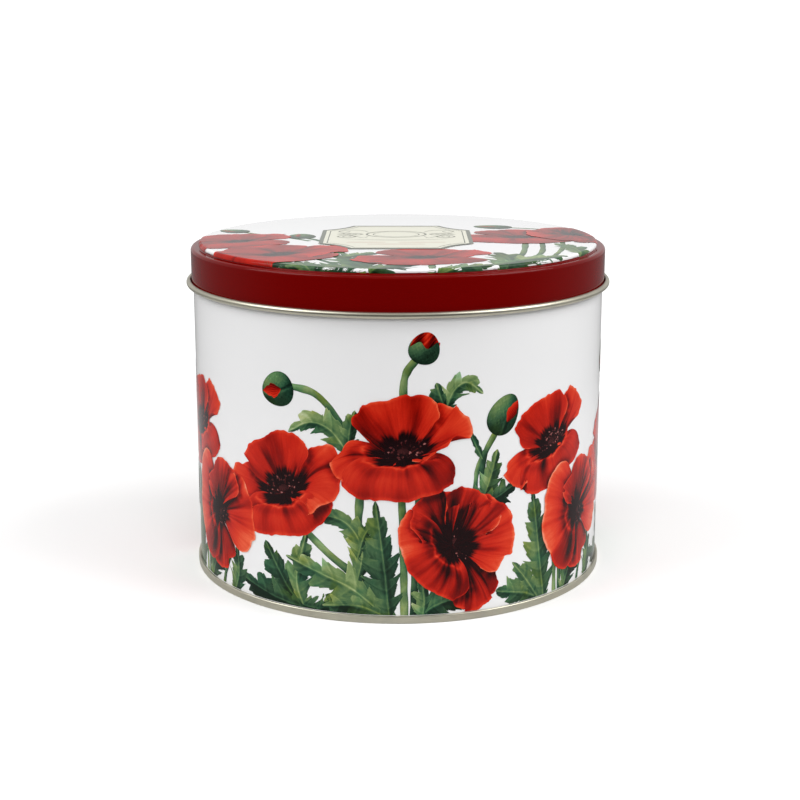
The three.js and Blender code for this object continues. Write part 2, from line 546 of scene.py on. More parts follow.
def seamFold():
    # a strip on the wall's inner face: a superellipse carried up the wall and shrunk to a point at
    # both ends
    across = np.radians(np.linspace(0, 360, 28, endpoint=False))
    widthWay = np.sign(np.cos(across)) * np.abs(np.cos(across)) ** 0.35 * sideSeam["foldWidth"] / 2
    depthWay = np.sign(np.sin(across)) * np.abs(np.sin(across)) ** 0.5 * sideSeam["foldDepth"] / 2
    height = np.linspace(sideSeam["bottom"], sideSeam["top"], 30)
    height = np.concatenate([[height[0]], height, [height[-1]]])[:, None]
    size = np.ones_like(height)
    size[[0, -1]] = 0
    middle = wallRadius - half - sideSeam["foldDepth"] / 2 + sideSeam["foldSunk"]
    radius = middle + depthWay * size
    angle = np.pi / 2 + widthWay * size / wallRadius
    points = np.stack([radius * np.cos(angle), radius * np.sin(angle), height + 0 * angle], axis=-1)
    return points.reshape(-1, 3), gridFaces(*angle.shape, closeColumns=True)


def makeShells():
    # the three pieces of sheet metal; the folds of the side seam are joined to the wall
    points, faces, notes = turnedShell(wallLine(), -1, lap=seamLap)
    foldPoints, foldFaces = seamFold()
    faces = np.vstack([faces, foldFaces + len(points)])
    points = np.vstack([points, foldPoints])
    notes = {"bare": np.concatenate([notes["bare"], np.ones(len(foldPoints))])}
    meshPiece("wall_shell", points, faces, notes, inks["wall"], "tin", "body_print", ["body_wall"], weld=True)
    base = turnedShell(baseLine(), 0)
    meshPiece("base_shell", *base, inks["base"], "tin", "tinplate", ["base_end"], weld=True)
    lid = turnedShell(lidLine(), 1)
    meshPiece("lid_shell", *lid, inks["lid"], "lid", "lid_print", ["lid"], weld=True)
    print("shells turned")


makeShells()

# printed art: every drawing is made on a flat sheet, x to the right and y up in mm, with a lift that
# orders what overlaps; then the sheet is wrapped round the wall or laid on the lid
panelEdge = tin["panelCorner"] + half  # outer bend round the lid's panel
panelReach = panelFlat + panelEdge * math.pi / 2 + 0.5  # how far the print goes, over the bend
printFoot = tin["seamHeight"] + 0.05  # where the wall's print stops


def onWall(flat, lift):
    # x is the arc from the front, and y the height
    angle = flat[:, 0] / wallFace
    radius = wallFace + lift
    height = np.maximum(flat[:, 1], printFoot)
    points = np.stack([radius * np.sin(angle), -radius * np.cos(angle), height], axis=-1)
    return points, flat[:, 1] > printFoot


def onLid(flat, lift):
    # flat on the panel, then by arc length round its edge's bend and down its side; points past the
    # foot of the panel are pulled back to it
    reach = np.hypot(flat[:, 0], flat[:, 1])
    inside = reach < panelReach
    arc = np.minimum(reach, panelReach) - panelFlat
    turn = np.clip(arc / panelEdge, 0, np.pi / 2)
    down = np.clip(arc - panelEdge * np.pi / 2, 0, None)
    radius = np.minimum(reach, panelFlat) + (panelEdge + lift) * np.sin(turn)
    height = lidTop - panelEdge + (panelEdge + lift) * np.cos(turn) - down
    way = flat / np.maximum(reach, 1e-9)[:, None]
    return np.column_stack([way * radius[:, None], height]), inside


def wave(x, chance, counts, fade=0.7):
    # sum of sines along x with random phases; count k has 1/k^fade of the height; about -1..1
    heights = [1 / k ** fade for k in counts]
    total = sum(h * np.sin(k * np.pi * x + chance.uniform(0, 2 * np.pi)) for h, k in zip(heights, counts))
    return total / sum(heights) * 1.4


def ease(value, low, high):
    # 0 at low, 1 at high, an S-curve between; low may be above high
    share = np.clip((value - low) / (high - low), 0, 1)
    return share * share * (3 - 2 * share)


def bell(value, middle, width):
    # 1 at the middle, falling off as e to the minus square of the distance in widths
    return np.exp(-((value - middle) / width) ** 2)


def gridOf(rows, columns):
    # two parameters over a grid: along 0..1 down the rows, across -1..1 over the columns
    return np.meshgrid(np.linspace(0, 1, rows), np.linspace(-1, 1, columns), indexing="ij")


def polarGrid(rows, columns):
    # share 0..1 from the middle out, and the angle round it
    spin = np.linspace(0, 2 * np.pi, columns, endpoint=False)
    return np.meshgrid(np.linspace(0, 1, rows), spin, indexing="ij")


def curveThrough(points, count):
    # a smooth curve through given points (Catmull-Rom), sampled evenly by length
    knots = np.array(points, float)
    knots = np.vstack([2 * knots[0] - knots[1], knots, 2 * knots[-1] - knots[-2]])
    span = np.linspace(0, len(points) - 1, 60 * len(points))
    piece = np.minimum(span.astype(int), len(points) - 2)
    t = (span - piece)[:, None]
    a, b, c, d = (knots[piece + i] for i in range(4))
    path = b + 0.5 * ((c - a) * t + (2 * a - 5 * b + 4 * c - d) * t ** 2 + (3 * b - a - 3 * c + d) * t ** 3)
    length = np.concatenate([[0], np.cumsum(np.linalg.norm(np.diff(path, axis=0), axis=1))])
    even = np.linspace(0, length[-1], count)
    path = np.stack([np.interp(even, length, path[:, 0]), np.interp(even, length, path[:, 1])], axis=1)
    return path, length[-1]


def normalsAlong(path):
    # unit tangents, and the unit normals to their left
    tangent = np.gradient(path, axis=0)
    tangent /= np.linalg.norm(tangent, axis=1, keepdims=True)
    return tangent, np.stack([-tangent[:, 1], tangent[:, 0]], axis=1)


paintedLight = np.array([-0.42, 0.70, 0.58])  # from the upper left, towards the viewer
flatLight = paintedLight[:2] / np.linalg.norm(paintedLight[:2])
paintedShadow = {"fall": (0.45, -0.75), "reach": 1.9, "petal": 0.34, "leaf": 0.26}

# how far each layer of ink stands off the enamel, mm
layers = {
    "ground": 0.02,
    "stem": 0.035,
    "nextStem": 0.0008,  # each stem lies this much over the one before
    "leaf": 0.05,
    "nextLeaf": 0.001,
    "domed": 0.004,  # the middle of a stem or leaf over its edge
    "bud": 0.08,
    "budDome": 0.006,
    "budPetal": 0.012,  # over the bud
    "flower": 0.09,
    "front": 0.17,
    "flowerDepth": 0.085,  # between the farthest and nearest parts of one flower
    "plate": 0.26,
    "plateInk": 0.28,
}


class Picture:
    # patches of ink, gathered into pieces by name; edges that lie above others darken them
    noteNames = ("tone", "heart", "pod", "along", "across", "chance")

    def __init__(self):
        self.patches, self.inkOf = {}, {}
        self.edges = np.zeros((0, 4))
        self.count = 0

    def patch(self, piece, ink, flat, lift, faces, edge=False, **notes):
        # quads that a fold turned over are turned back; edge says that the rim casts a shadow
        shape = flat.shape[:-1]
        lift = np.broadcast_to(lift, shape)
        if edge:
            place = np.dstack([flat, lift])
            rim = np.vstack([place[-1, ::2], place[::2, 0], place[::2, -1]])
            self.edges = np.vstack([self.edges, np.column_stack([rim, np.full(len(rim), self.count)])])
        flat = flat.reshape(-1, 2)
        corner = flat[faces]
        first, second = corner[:, 2] - corner[:, 0], corner[:, 3] - corner[:, 1]
        area = first[:, 0] * second[:, 1] - first[:, 1] * second[:, 0]
        faces = np.where((area < 0)[:, None], faces[:, ::-1], faces)[np.abs(area) > 1e-7]
        spread = {}
        for name in self.noteNames:
            spread[name] = np.array(np.broadcast_to(notes.get(name, 0.0), shape)).reshape(-1)
        self.patches.setdefault(piece, []).append((flat, lift.reshape(-1), faces, spread, self.count))
        self.inkOf[piece] = ink
        self.count += 1

    def shadeAt(self, flat, lift, own):
        # a bell curve of the distance to the closest edge above, moved by the shadow's fall
        reach = paintedShadow["reach"]
        edges = self.edges + np.array([*paintedShadow["fall"], 0, 0])
        low, high = flat.min(axis=0) - 2.5 * reach, flat.max(axis=0) + 2.5 * reach
        close = ((edges[:, :2] > low) & (edges[:, :2] < high)).all(axis=1) & (edges[:, 3] != own)
        near = edges[close & (edges[:, 2] > lift.min())]
        if not len(near):
            return np.zeros(len(flat))
        gap = (flat[:, :1] - near[:, 0]) ** 2 + (flat[:, 1:] - near[:, 1]) ** 2
        above = near[:, 2] > lift[:, None] + 0.002
        return np.where(above, np.exp(-gap / reach ** 2), 0).max(axis=1)

    def darken(self, dim, contrast):
        # lays the painted shadows into the tones, once every patch is drawn; contrast scales the
        # tones about one half and dim lowers them, both by ink
        for piece, patches in self.patches.items():
            ink = self.inkOf[piece]
            for flat, lift, faces, notes, own in patches:
                if not notes["pod"].any():
                    shade = paintedShadow[ink] * self.shadeAt(flat, lift, own)
                    notes["tone"][:] = 0.5 + (notes["tone"] - shade - 0.5) * contrast[ink] - dim[ink]

    def lay(self, wrap, body, suffix="", shift=0.0):
        # wraps every piece, leaves out the faces that lie past the print's edge and makes its mesh
        slots = {"petal": "poppy_print", "leaf": "leaf_print"}
        for piece, patches in self.patches.items():
            flats, lifts, quads, notes, owns = zip(*patches)
            starts = np.cumsum([0] + [len(flat) for flat in flats])
            points, inside = wrap(np.vstack(flats) + (shift, 0), np.concatenate(lifts))
            faces = np.vstack([quad + start for quad, start in zip(quads, starts)])
            faces = faces[inside[faces].any(axis=1)]
            if not len(faces):
                continue
            used, faces = np.unique(faces, return_inverse=True)
            notes = {name: np.concatenate([note[name] for note in notes])[used] for name in self.noteNames}
            ink = self.inkOf[piece]
            meshPiece(piece + suffix, points[used], faces.reshape(-1, 4), notes, inks[ink], body, slots[ink])


# the kinds of poppy. heading and tilt say which way the flower leans and how far, glow how much
# brighter it is painted, and heart how large its dark middle is. Petals are in drawing order: at and
# spread are degrees round the flower (0 right, 90 back), rise is the slope at the petal's lip and
# flare the slope at its rim.
blooms = {
    "bowl": {
        "heading": 98, "tilt": 60, "glow": 0.0, "heart": 1.0, "petals": [
            {"at": 350, "spread": 70, "length": 28, "rise": 30, "flare": 26},
            {"at": 100, "spread": 94, "length": 25, "rise": 44, "flare": 60},
            {"at": 200, "spread": 58, "length": 29, "rise": 20, "flare": -40},
            {"at": 262, "spread": 74, "length": 34, "rise": 26, "flare": -84},
        ],
    },
    "open": {
        "heading": 112, "tilt": 54, "glow": 0.0, "heart": 1.0, "petals": [
            {"at": 182, "spread": 58, "length": 29, "rise": 28, "flare": 10},
            {"at": 84, "spread": 86, "length": 25, "rise": 40, "flare": 60},
            {"at": -22, "spread": 64, "length": 30, "rise": 30, "flare": -14},
            {"at": 250, "spread": 78, "length": 31, "rise": 26, "flare": -66},
        ],
    },
    "round": {
        "heading": 34, "tilt": 44, "glow": 0.04, "heart": 0.92, "petals": [
            {"at": 356, "spread": 40, "length": 30, "rise": 2, "flare": -30},
            {"at": 132, "spread": 70, "length": 24, "rise": 40, "flare": 54},
            {"at": 58, "spread": 70, "length": 27, "rise": 36, "flare": 44},
            {"at": 196, "spread": 60, "length": 25, "rise": 22, "flare": 6},
            {"at": 268, "spread": 74, "length": 29, "rise": 24, "flare": -56},
        ],
    },
    "tall": {
        "heading": 20, "tilt": 40, "glow": 0.15, "heart": 0.72, "petals": [
            {"at": 334, "spread": 66, "length": 27, "rise": 8, "flare": -30},
            {"at": 92, "spread": 76, "length": 28, "rise": 30, "flare": 44},
            {"at": 180, "spread": 66, "length": 26, "rise": 30, "flare": 16},
            {"at": 262, "spread": 80, "length": 34, "rise": 14, "flare": -48},
        ],
    },
}
petalHabit = {
    "rows": 46,
    "columns": 76,
    "shoulder": 0.36,  # how much shorter a petal's sides are than its middle
    "ruffle": 24,  # degrees the rim waves in and out
    "pleats": 7,
    "pleatDepth": 0.27,
    "creases": 4,
    "creaseDepth": 0.25,
    "claw": 6,  # degrees, the slope where a petal leaves the heart
    "lip": 0.40,  # share of the petal where it is steepest
    "blotch": 0.44,  # share of the petal that the dark heart covers
    "stack": 2.4,  # mm that each petal is brought forward of the one before
    "halfDepth": 30,  # mm in front of and behind the heart that the lift tells apart
}
# the tones of a petal
petalPaint = {
    "tone": 0.23,
    "light": 0.45,  # added where it faces the light
    "cup": 0.30,  # taken off deep in the cup
    "outside": 0.10,  # taken off low on the outside
    "clouds": 0.06,
    "rim": 0.20,
    "upper": 0.07,
    "sides": 0.12,
}
# a petal that folds over beyond the heart shows a bright lip there
foldedLip = {
    "below": -30,  # flare, in degrees, that makes it fold
    "past": 0.09,  # beyond the blotch, as a share of the petal
    "waver": 0.03,
    "width": 0.035,
    "light": 0.26,
    "shadePast": 0.22,
    "shadeWidth": 0.07,
    "shade": 0.12,
    "seed": 3,
}


def flowerAxes(heading, tilt):
    # right, back and outward directions of a flower whose face leans by tilt towards heading
    h, t = np.radians([heading, tilt])
    lean, viewer = np.array([np.cos(h), np.sin(h), 0]), np.array([0, 0, 1.0])
    right = np.array([np.sin(h), -np.cos(h), 0])
    return right, np.cos(t) * lean - np.sin(t) * viewer, np.sin(t) * lean + np.cos(t) * viewer


def around(axes, angle):
    # directions in the flower's own plane: cosine of the angle to the right, sine of it to the back
    return np.cos(angle)[..., None] * axes[0] + np.sin(angle)[..., None] * axes[1]


def petalShape(petal, axes, size, chance):
    # meridians leave the heart almost flat, climb at slope rise and end at slope flare, fanned out by
    # spread. Their length falls off to the sides as a superellipse; the rim waves, and shallow
    # pleats run up to it.
    habit = petalHabit
    along, across = gridOf(habit["rows"], habit["columns"])
    rim = 1 - habit["shoulder"] * (1 - np.sqrt(np.clip(1 - np.abs(across) ** 3.4, 0, 1)))
    rim = rim + 0.030 * wave(across, chance, (2, 3, 5)) + 0.007 * wave(across, chance, (9, 14, 21))
    lip = habit["lip"]
    slope = habit["claw"] + (petal["rise"] - habit["claw"]) * ease(along, 0, lip)
    slope = slope + (petal["flare"] - petal["rise"]) * ease(along, lip, 1.0)
    slope = np.radians(slope + habit["ruffle"] * along ** 3 * wave(across, chance, (2, 3, 5)))
    step = petal["length"] * size * rim / (habit["rows"] - 1)
    outward = np.cumsum(step * np.cos(slope), axis=0) - step * np.cos(slope)
    upward = np.cumsum(step * np.sin(slope), axis=0) - step * np.sin(slope)
    pleat = wave(across, chance, (habit["pleats"], habit["pleats"] + 4, habit["pleats"] * 2 + 3), 0.5)
    upward = upward + habit["pleatDepth"] * size * pleat * ease(along, 0.15, 0.6)
    fan = np.radians(petal["at"] + petal["spread"] * across * (0.62 + 0.38 * along ** 0.6))
    return outward[..., None] * around(axes, fan) + upward[..., None] * axes[2], along, across


def petalTone(petal, points, along, across, axes, chance, reach):
    # painted light: Lambert's cosine on the visible side, darker in the cup and in bell-shaped random
    # creases, lighter along the rim and on a folded lip. The blotch is the heart's dark; its edge is
    # an S-curve made ragged by waves.
    habit, paint = petalHabit, petalPaint
    normal = np.cross(np.gradient(points, axis=1), np.gradient(points, axis=0))
    normal /= np.maximum(np.linalg.norm(normal, axis=2, keepdims=True), 1e-9)
    if (normal @ axes[2]).mean() < 0:
        normal = -normal
    innerSide = normal[..., 2] > 0
    seen = normal * np.where(innerSide, 1, -1)[..., None]
    lit = np.clip(seen @ (paintedLight / np.linalg.norm(paintedLight)), 0, 1)
    tone = paint["tone"] + paint["light"] * lit
    tone = tone - np.where(innerSide, paint["cup"] * (1 - along) ** 1.6, paint["outside"] * (1 - along))
    for _ in range(habit["creases"]):
        middle, width = chance.uniform(-0.85, 0.85), chance.uniform(0.04, 0.13)
        crease = bell(across, middle + 0.1 * (along - 0.5), width)
        crease = crease * ease(along, 0, 0.35) * ease(along, 1, 0.65)
        tone = tone - habit["creaseDepth"] * chance.uniform(0.4, 1) * crease
    tone = tone + paint["clouds"] * wave(along, chance, (2, 3)) * wave(across, chance, (2, 3))
    tone = tone + paint["rim"] * ease(along, 0.94, 1.0) + paint["upper"] * ease(along, 0.55, 0.95)
    tone = tone + paint["sides"] * ease(np.abs(across), 0.95, 1.0) * along
    if petal["flare"] < foldedLip["below"]:
        lip = reach + foldedLip["past"]
        lip = lip + foldedLip["waver"] * wave(across, np.random.default_rng(foldedLip["seed"]), (2, 5))
        bright = foldedLip["light"] * bell(along, lip, foldedLip["width"])
        dark = foldedLip["shade"] * bell(along, reach + foldedLip["shadePast"], foldedLip["shadeWidth"])
        tone = tone + (bright - dark) * ease(np.abs(across), 1.0, 0.7)
    ragged = along + 0.045 * wave(across, chance, (3, 5, 8)) + 0.02 * wave(across, chance, (17, 23))
    blotch = ease(ragged, reach + 0.05, reach - 0.05) * innerSide
    return tone, blotch


def drawBloom(picture, piece, kind, place, size, base, seed, turn, heart):
    # one poppy at a place on the sheet; depth towards the viewer becomes lift off the tin
    bloom, habit = blooms[kind], petalHabit
    chance = np.random.default_rng(seed)
    axes = flowerAxes(bloom["heading"] + turn, bloom["tilt"])
    place = np.array(place)
    heart = heart * bloom["heart"]

    def lifted(depth):
        # half the flower's lift at the heart, none and all of it at halfDepth behind and before it
        return base + layers["flowerDepth"] * np.clip(0.5 + depth / (2 * habit["halfDepth"] * size), 0, 1)

    drawCup(picture, piece, place, size * heart, axes, base)
    quads = gridFaces(habit["rows"], habit["columns"])
    for number, petal in enumerate(bloom["petals"]):
        points, along, across = petalShape(petal, axes, size, chance)
        tone, blotch = petalTone(petal, points, along, across, axes, chance, habit["blotch"] * heart)
        lift = lifted(points[..., 2] + habit["stack"] * number)
        picture.patch(piece, "petal", points[..., :2] + place, lift, quads, edge=True,
                      tone=tone + bloom["glow"], heart=blotch, along=along, across=across,
                      chance=float(seed * 7 + number))
    drawHeart(picture, piece, place, size * heart, axes, lifted, chance)


# the middle of a poppy, mm
stamens = {
    "cup": 8.0,  # radius of the dark floor of the flower
    "count": 190,
    "inner": 2.0,
    "outer": 8.8,
    "height": 3.6,
    "anther": 0.42,
    "filament": 0.12,
    "footRadius": 1.1,
    "footHeight": 0.3,
    "podRadius": 2.3,
    "podHeight": 3.0,
    "podDome": 1.1,
    "podRays": 10,
    "forward": 1.0,  # filaments and pod are brought this far forward, and anthers twice as far
}


def drawCup(picture, piece, place, size, axes, base):
    # a dark round floor that closes the gaps between the petals' claws
    share, spin = polarGrid(6, 36)
    disc = (share * stamens["cup"] * size)[..., None] * around(axes, spin)
    picture.patch(piece, "petal", disc[..., :2] + place, base, gridFaces(6, 36, closeColumns=True), heart=1.0)


def drawHeart(picture, piece, place, size, axes, lifted, chance):
    # a domed seed pod with rays, fine dark filaments round it, and an anther at the end of each
    count, out = stamens["count"], axes[2]
    spin = chance.uniform(0, 2 * np.pi, count)
    reach = stamens["inner"] + (stamens["outer"] - stamens["inner"]) * np.sqrt(chance.uniform(0, 1, count))
    high = size * stamens["height"] * chance.uniform(0.5, 1.0, count)
    direction = around(axes, spin)
    tip = (size * reach)[:, None] * direction + high[:, None] * out
    foot = size * (stamens["footRadius"] * direction + stamens["footHeight"] * out)
    bright = chance.uniform(0, 1, count)
    drawFilaments(picture, piece, foot, tip, size, place, lifted, 0.02 + 0.24 * (bright > 0.8))
    share, turn = polarGrid(14, 28)
    lean = share * np.pi / 2
    high = np.cos(lean) * stamens["podDome"] + stamens["podHeight"] - stamens["podDome"]
    dome = (np.sin(lean) * stamens["podRadius"] * size)[..., None] * around(axes, turn)
    dome = dome + (high * size)[..., None] * out
    rays = 0.5 + 0.5 * np.cos(turn * stamens["podRays"])
    tone = 0.05 + 0.22 * rays * ease(share, 0.95, 0.5) * (0.4 + 0.6 * ease(np.sin(turn - 2.2), -1, 1))
    picture.patch(piece, "petal", dome[..., :2] + place, lifted(dome[..., 2] + stamens["forward"]),
                  gridFaces(14, 28, closeColumns=True), tone=tone, pod=1.0)
    drawAnthers(picture, piece, tip, size, place, lifted, bright, chance)


def repeated(faces, step, count):
    # the same faces for count equal shapes of step points each
    return (faces[None] + (np.arange(count) * step)[:, None, None]).reshape(-1, 4)


def drawFilaments(picture, piece, foot, tip, size, place, lifted, tone):
    # narrow strips from foot to tip, all at once: five rows of two points each
    share = np.linspace(0, 1, 5)[None, :, None]
    line = foot[:, None, :] * (1 - share) + tip[:, None, :] * share
    way = (tip - foot)[:, :2]
    way = way / np.maximum(np.linalg.norm(way, axis=1, keepdims=True), 1e-9)
    side = np.stack([-way[:, 1], way[:, 0]], axis=1)[:, None, None, :] * np.array([-0.5, 0.5])[:, None]
    flat = line[:, :, None, :2] + side * stamens["filament"] * size + place
    lift = lifted(line[..., 2] + stamens["forward"])[:, :, None] + np.zeros(2)
    faces = repeated(gridFaces(5, 2), 10, len(foot))
    picture.patch(piece, "petal", flat, lift, faces, tone=tone[:, None, None], pod=0.8)


def drawAnthers(picture, piece, middle, size, place, lifted, bright, chance):
    # small turned ovals, all at once: three rings of eight points each; a few are bright
    share, spin = polarGrid(3, 8)
    share = np.maximum(share, 0.05)
    turn = chance.uniform(0, np.pi, len(middle))[:, None, None]
    scale = stamens["anther"] * size * chance.uniform(0.7, 1.3, len(middle))[:, None, None]
    x, y = share * scale * np.cos(spin) * 1.3, share * scale * np.sin(spin) * 0.75
    flat = np.stack([x * np.cos(turn) - y * np.sin(turn), x * np.sin(turn) + y * np.cos(turn)], axis=-1)
    flat = flat + middle[:, None, None, :2] + place
    lift = lifted(middle[:, 2] + 2 * stamens["forward"])[:, None, None] + np.zeros((3, 8))
    bright = bright[:, None, None]
    tone = np.select([bright > 0.92, bright > 0.76], [0.80, 0.30], 0.0) - 0.2 * share * (bright > 0.9)
    faces = repeated(gridFaces(3, 8, closeColumns=True), 24, len(middle))
    picture.patch(piece, "petal", flat, lift, faces, tone=tone, pod=1.0)


stemHabit = {
    "row": 0.8,  # mm from one row of points to the next
    "columns": 9,
    "waver": 0.10,  # share of the width
    "tone": 0.56,
    "light": 0.28,  # added on the lit side and taken off on the other
    "edge": 0.18,
    "clouds": 0.10,
}


def drawStem(picture, piece, points, width, base, seed, tone):
    # a ribbon along a curve whose width wavers; its tone rises towards the painted light and falls
    # off at both edges with the fourth power
    habit, chance = stemHabit, np.random.default_rng(seed)
    count = max(8, round(curveThrough(points, 2)[1] / habit["row"]))
    path, length = curveThrough(points, count)
    normal = normalsAlong(path)[1]
    along, across = gridOf(count, habit["columns"])
    wide = width / 2 * (1 + habit["waver"] * wave(along, chance, (5, 9, 14)))
    flat = path[:, None, :] + normal[:, None, :] * (across * wide)[..., None]
    facing = (normal @ flatLight)[:, None] * across
    shade = habit["tone"] + tone + habit["light"] * facing - habit["edge"] * np.abs(across) ** 4
    shade = shade + habit["clouds"] * wave(along, chance, (2, 5, 9))
    lift = base + layers["domed"] * (1 - across ** 2)
    picture.patch(piece, "leaf", flat, lift, gridFaces(count, habit["columns"]), edge=True, tone=shade,
                  along=along * length / 12, across=across * 0.5, chance=float(seed))


leafHabit = {
    "rows": 156,
    "columns": 23,
    "sweep": 0.55,  # how far lobes lean towards the tip, as a share of the half width
    "waist": 0.46,  # width between lobes, as a share of the lobes'
    "uneven": 0.22,  # how much wider one half of the leaf may be
    "tone": 0.45,
    "light": 0.23,  # added on the lit half and taken off the other
    "tip": 0.12,  # added towards the tip
    "lobe": 0.24,  # added along each lobe
    "furrow": 0.13,  # taken off beside the midrib
    "rib": 0.24,
    "vein": 0.08,
    "clouds": 0.10,
    "edge": 0.12,
}


def drawLeaf(picture, piece, points, width, lobes, base, seed, tone):
    # a lobed leaf along its midrib. The half width is a hump along the rib times a row of forward
    # lobes with small teeth on them; points far from the rib lean forward along it.
    habit, chance = leafHabit, np.random.default_rng(seed)
    path, length = curveThrough(points, habit["rows"])
    tangent, normal = normalsAlong(path)
    along, across = gridOf(habit["rows"], habit["columns"])
    side = np.sign(across)
    hump = np.sin(np.pi * along ** 0.68) ** 0.8 * (1 - 0.18 * along) + 0.06 * (1 - along)
    phase = np.where(side > 0, *chance.uniform(0, 1, 2))
    beat = (along ** 0.9 * lobes + phase) % 1
    lobe = ease(beat, -0.25, 0.85) * ease(beat, 1.0, 0.80)
    teeth = (along * lobes * 3 + phase) % 1
    edge = habit["waist"] + (1 - habit["waist"]) * lobe + 0.09 * (teeth - 0.5) * ease(beat, 1, 0.8)
    edge = edge * (1 + 0.12 * wave(along * 2 + side, chance, (3, 5)))
    edge = edge * (1 + side * chance.uniform(-1, 1) * habit["uneven"])
    outward = across * width / 2 * hump * edge
    forward = habit["sweep"] * width / 2 * hump * across ** 2 * (0.25 + 0.75 * lobe)
    flat = path[:, None, :] + normal[:, None, :] * outward[..., None]
    flat = flat + tangent[:, None, :] * forward[..., None]
    # tones: the half that faces the light, the rise of each lobe, the midrib, the veins and the edge
    facing = (normal @ flatLight)[:, None] * side
    shade = habit["tone"] + tone + habit["light"] * facing * ease(np.abs(across), 0, 0.2)
    shade = shade + habit["tip"] * (along - 0.4)
    shade = shade + habit["lobe"] * (beat - 0.55) * ease(np.abs(across), 0.1, 0.7)
    shade = shade - habit["furrow"] * bell(np.abs(outward), 0.9, 0.7)
    shade = shade + habit["rib"] * bell(np.abs(outward), 0, 0.26)
    vein = beat - 0.50 - 0.25 * np.abs(across)
    shade = shade + habit["vein"] * (bell(vein, 0, 0.05) - bell(vein, -0.14, 0.09))
    shade = shade + habit["clouds"] * wave(along, chance, (2, 3, 5)) * (0.6 + 0.4 * side)
    shade = shade + habit["edge"] * ease(np.abs(across), 0.9, 1.0)
    quads = gridFaces(habit["rows"], habit["columns"])
    lift = base + layers["domed"] * (1 - np.abs(across))
    picture.patch(piece, "leaf", flat, lift, quads, edge=True, tone=shade, along=along * length / 14,
                  across=across, chance=float(seed))


budHabit = {
    "grid": (30, 56),
    "narrow": 0.16,  # how much narrower the tip is than the foot
    "bend": 0.17,  # of the dark line between the two halves
    "tone": 0.12,
    "light": 0.58,
    "line": 0.30,
    "lineLight": 0.14,
    "clouds": 0.05,
    "foot": 0.10,
    "petalGrid": (24, 24),
}


def drawBud(picture, pieces, base, place, length, width, heading, slit, slitAt, crown, seed):
    # a bud: an egg shaded as a ball and split by a dark line; the red petal shows through a lens
    # that runs to the tip, or where crown is set through a ragged crown over the whole tip
    habit, chance = budHabit, np.random.default_rng(seed)
    h = np.radians(heading)
    forward, left = np.array([np.cos(h), np.sin(h)]), np.array([-np.sin(h), np.cos(h)])

    def egg(a, b):
        # a disc stretched to length and width, narrower towards the tip
        wide = b * width / 2 * (1 - habit["narrow"] * a)
        return place + (a * length / 2)[..., None] * forward + wide[..., None] * left

    share, spin = polarGrid(*habit["grid"])
    a, b = share * np.cos(spin), share * np.sin(spin)
    up = np.sqrt(np.clip(1 - a ** 2 - b ** 2, 0, 1))
    lit = (a[..., None] * forward + b[..., None] * left) @ paintedLight[:2] + up * paintedLight[2]
    line = b - slitAt - habit["bend"] * (1 - a ** 2)
    shade = habit["tone"] + habit["light"] * np.clip(lit, 0, 1) ** 1.6
    shade = shade - habit["line"] * bell(line, 0, 0.07) + habit["lineLight"] * bell(line, 0.14, 0.08)
    shade = shade + habit["clouds"] * wave(a, chance, (5, 9)) * wave(b, chance, (6, 11))
    shade = shade - habit["foot"] * ease(a, -0.6, -1)
    quads = gridFaces(*habit["grid"], closeColumns=True)
    picture.patch(pieces[0], "leaf", egg(a, b), base + layers["budDome"] * up, quads, tone=shade,
                  along=a * 2, across=b * 2, chance=float(seed))
    run, cross = gridOf(*habit["petalGrid"])
    if crown:
        b = cross * 0.93
        start = 0.40 - slit * 0.5 * (1 + np.cos(4.6 * cross + slitAt)) - 0.22 * cross
        a = start + run * (np.sqrt(1 - b ** 2) * 1.01 - start)
        tone = 0.44 + 0.24 * np.sin(6 * cross + 1) - 0.26 * (1 - run) ** 2
        tone = tone + 0.14 * wave(cross * 2 + run, chance, (3, 5))
    else:
        gape = slit * np.sin(np.pi * np.clip(run, 0, 1) ** 0.9) * (1 + 0.10 * wave(run, chance, (5, 9)))
        a = -0.20 + 1.17 * run - 0.03 * cross ** 2
        limit = np.sqrt(np.clip(0.99 - a ** 2, 0.0, 1))
        b = np.clip(slitAt + habit["bend"] * (1 - a ** 2) + cross * gape * 0.5, -limit, limit)
        tone = 0.56 + 0.22 * cross + 0.12 * wave(cross * 2 + run, chance, (3, 5)) - 0.22 * (1 - run)
    picture.patch(pieces[1], "petal", egg(a, b), base + layers["budPetal"], gridFaces(*habit["petalGrid"]),
                  tone=tone, along=run, across=cross, chance=float(seed))


def drawPicture(parts, name):
    # stems, leaves and buds, then the poppies, each kind in its own layer
    picture = Picture()
    foliage, budPetals = f"foliage_{name}", f"bud_petals_{name}"
    for number, (points, width, tone) in enumerate(parts["stems"]):
        base = layers["stem"] + layers["nextStem"] * number
        drawStem(picture, foliage, points, width, base, 100 + number, tone)
    for number, (points, width, lobes, tone, seed) in enumerate(parts["leaves"]):
        base = layers["leaf"] + layers["nextLeaf"] * number
        drawLeaf(picture, foliage, points, width, lobes, base, seed, tone)
    for bud in parts["buds"]:
        drawBud(picture, (foliage, budPetals), layers["bud"], *bud)
    for number, (kind, place, size, layer, turn, seed) in enumerate(parts["flowers"], 1):
        piece = f"poppy_{name}_{number}"
        drawBloom(picture, piece, kind, place, size, layers[layer], seed, turn, parts["heart"])
    picture.darken(parts["dim"], parts["contrast"])
    return picture


